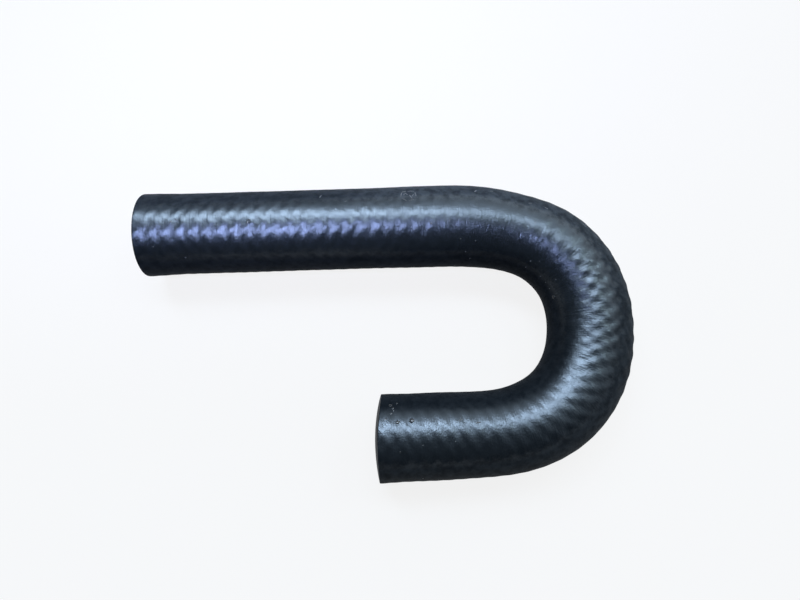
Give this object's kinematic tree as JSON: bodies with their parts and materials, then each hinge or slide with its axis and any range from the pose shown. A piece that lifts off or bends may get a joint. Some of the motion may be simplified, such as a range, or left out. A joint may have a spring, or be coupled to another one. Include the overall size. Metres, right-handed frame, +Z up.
{
  "type": "moulded coolant hose",
  "caption": "Moulded rubber coolant hose with a braided wall, bent into a flat J with a long and a short leg, that carries coolant to an exhaust gas recirculation cooler.",
  "frame": {"origin": "on the surface that the hose lies on, below the middle of its box", "axes": "+X from the cut ends towards the turn, along both legs; +Y from the short leg to the long leg; +Z up, square to the flat J"},
  "size_m": [0.1602, 0.097, 0.0278],
  "materials": {
    "rubber": "satin"
  },
  "bodies": {
    "root": {"hose": "rubber"}
  },
  "joints": []
}
